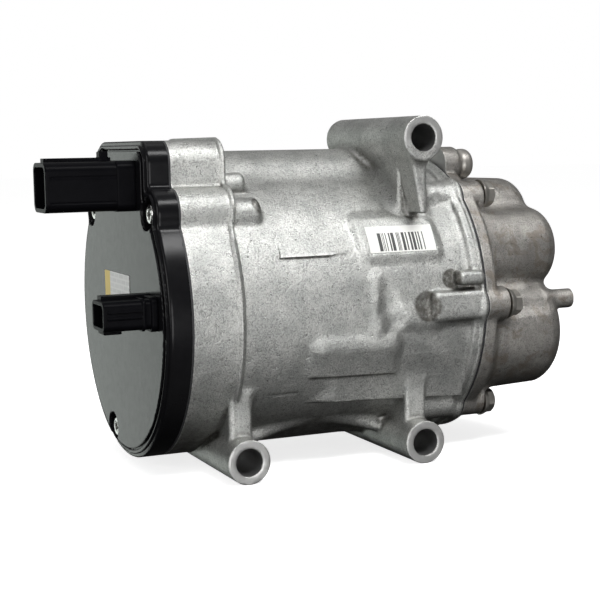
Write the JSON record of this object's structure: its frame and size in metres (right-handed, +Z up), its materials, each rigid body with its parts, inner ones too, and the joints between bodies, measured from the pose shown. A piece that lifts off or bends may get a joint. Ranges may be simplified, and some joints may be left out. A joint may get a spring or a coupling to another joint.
{
  "type": "electric scroll compressor",
  "caption": "Electric refrigerant compressor: cast housing with bolt lugs, black inverter cover with sockets, permanent-magnet motor and scroll pair.",
  "frame": {"origin": "bottom centre of the bounding box: on the surface the two lower lugs stand on, below the shaft", "axes": "+X along the shaft from the inverter cover to the discharge end, -Y the side with the lug faces, +Z up"},
  "size_m": [0.225, 0.1262, 0.141],
  "materials": {
    "cast_aluminium": "as cast, shot blasted",
    "cast_aluminium_rear": "as cast, stained",
    "black_paint": "gloss",
    "gasket": "matt",
    "zinc_steel": "zinc plated",
    "black_plastic": "moulded, semi gloss",
    "contact_brass": "tinned brass",
    "board_green": "solder mask",
    "chip_black": "moulded",
    "capacitor_sleeve": "shrink sleeve",
    "ferrite": "sintered",
    "copper": "enamelled copper wire",
    "thermal_pad": "soft silicone",
    "bright_steel": "ground",
    "glass_seal": "fused",
    "insulator": "moulded",
    "lead_red": "sleeved wire",
    "core_steel": "stacked laminations",
    "magnet": "coated",
    "balance_brass": "machined",
    "bearing_steel": "polished",
    "machined_aluminium": "machined",
    "tip_seal": "filled polymer",
    "spring_steel": "blued",
    "label_white": "printed film"
  },
  "bodies": {
    "casing": {"motor_housing": "cast_aluminium", "rear_housing": "cast_aluminium_rear", "inverter_cover": "black_paint", "cover_gasket": "gasket", "cover_screws": "zinc_steel", "hv_connector_shell": "black_plastic", "hv_terminals": "contact_brass", "lv_connector_shell": "black_plastic", "lv_pins": "contact_brass", "control_board": "board_green", "board_chips": "chip_black", "board_screws": "zinc_steel", "filter_capacitors": "capacitor_sleeve", "choke_core": "ferrite", "choke_winding": "copper", "power_module": "chip_black", "thermal_pad": "thermal_pad", "feedthrough_plate": "bright_steel", "feedthrough_seals": "glass_seal", "feedthrough_pins": "contact_brass", "feedthrough_screws": "zinc_steel", "cluster_block": "insulator", "phase_leads": "lead_red", "stator_core": "core_steel", "stator_insulators": "insulator", "stator_coils": "copper", "sub_bearing_outer_race": "bearing_steel", "main_bearing_outer_race": "bearing_steel", "main_frame": "machined_aluminium", "thrust_plate": "bright_steel", "anti_rotation_pins": "bearing_steel", "fixed_scroll": "machined_aluminium", "fixed_tip_seal": "tip_seal", "reed_retainer": "bright_steel", "reed_screw": "zinc_steel", "rear_gasket": "gasket", "housing_bolts": "zinc_steel", "oil_separator_tube": "bright_steel", "relief_valve": "bright_steel", "barcode_label": "label_white", "rating_label": "label_white"},
    "crankshaft": {"rotor_core": "core_steel", "rotor_magnets": "magnet", "rotor_end_plates": "balance_brass", "crankshaft": "bright_steel", "sub_bearing_inner_race": "bearing_steel", "main_bearing_inner_race": "bearing_steel", "drive_bush": "bright_steel", "counterweight": "bright_steel"},
    "orbiting_scroll": {"orbiting_scroll": "machined_aluminium", "orbiting_tip_seal": "tip_seal", "anti_rotation_rings": "bearing_steel", "drive_bearing": "balance_brass"},
    "sub_bearing_cage": {"sub_bearing_balls": "bearing_steel", "sub_bearing_cage": "balance_brass"},
    "main_bearing_cage": {"main_bearing_balls": "bearing_steel", "main_bearing_cage": "balance_brass"},
    "discharge_reed": {"discharge_reed": "spring_steel"}
  },
  "joints": [
    {"name": "shaft_spin", "type": "hinge", "parent": "casing", "child": "crankshaft", "pos_m": [0, 0, 0.06325], "axis": [1, 0, 0], "continuous": true},
    {"name": "scroll_orbit", "type": "hinge", "parent": "crankshaft", "child": "orbiting_scroll", "pos_m": [0, 0, 0.06745], "axis": [1, 0, 0], "continuous": true},
    {"name": "sub_cage_spin", "type": "hinge", "parent": "casing", "child": "sub_bearing_cage", "pos_m": [0, 0, 0.06325], "axis": [1, 0, 0], "continuous": true},
    {"name": "main_cage_spin", "type": "hinge", "parent": "casing", "child": "main_bearing_cage", "pos_m": [0, 0, 0.06325], "axis": [1, 0, 0], "continuous": true},
    {"name": "reed_lift", "type": "hinge", "parent": "casing", "child": "discharge_reed", "pos_m": [0.0605, 0, 0.03225], "axis": [0, 1, 0], "range_deg": [0, 2.5], "stiffness_Nm_per_rad": 0.05, "springref_deg": -1.15}
  ],
  "couplings": [
    {"joint": "scroll_orbit", "follows": "shaft_spin", "ratio": -1},
    {"joint": "sub_cage_spin", "follows": "shaft_spin", "ratio": 0.3873},
    {"joint": "main_cage_spin", "follows": "shaft_spin", "ratio": 0.3931}
  ]
}
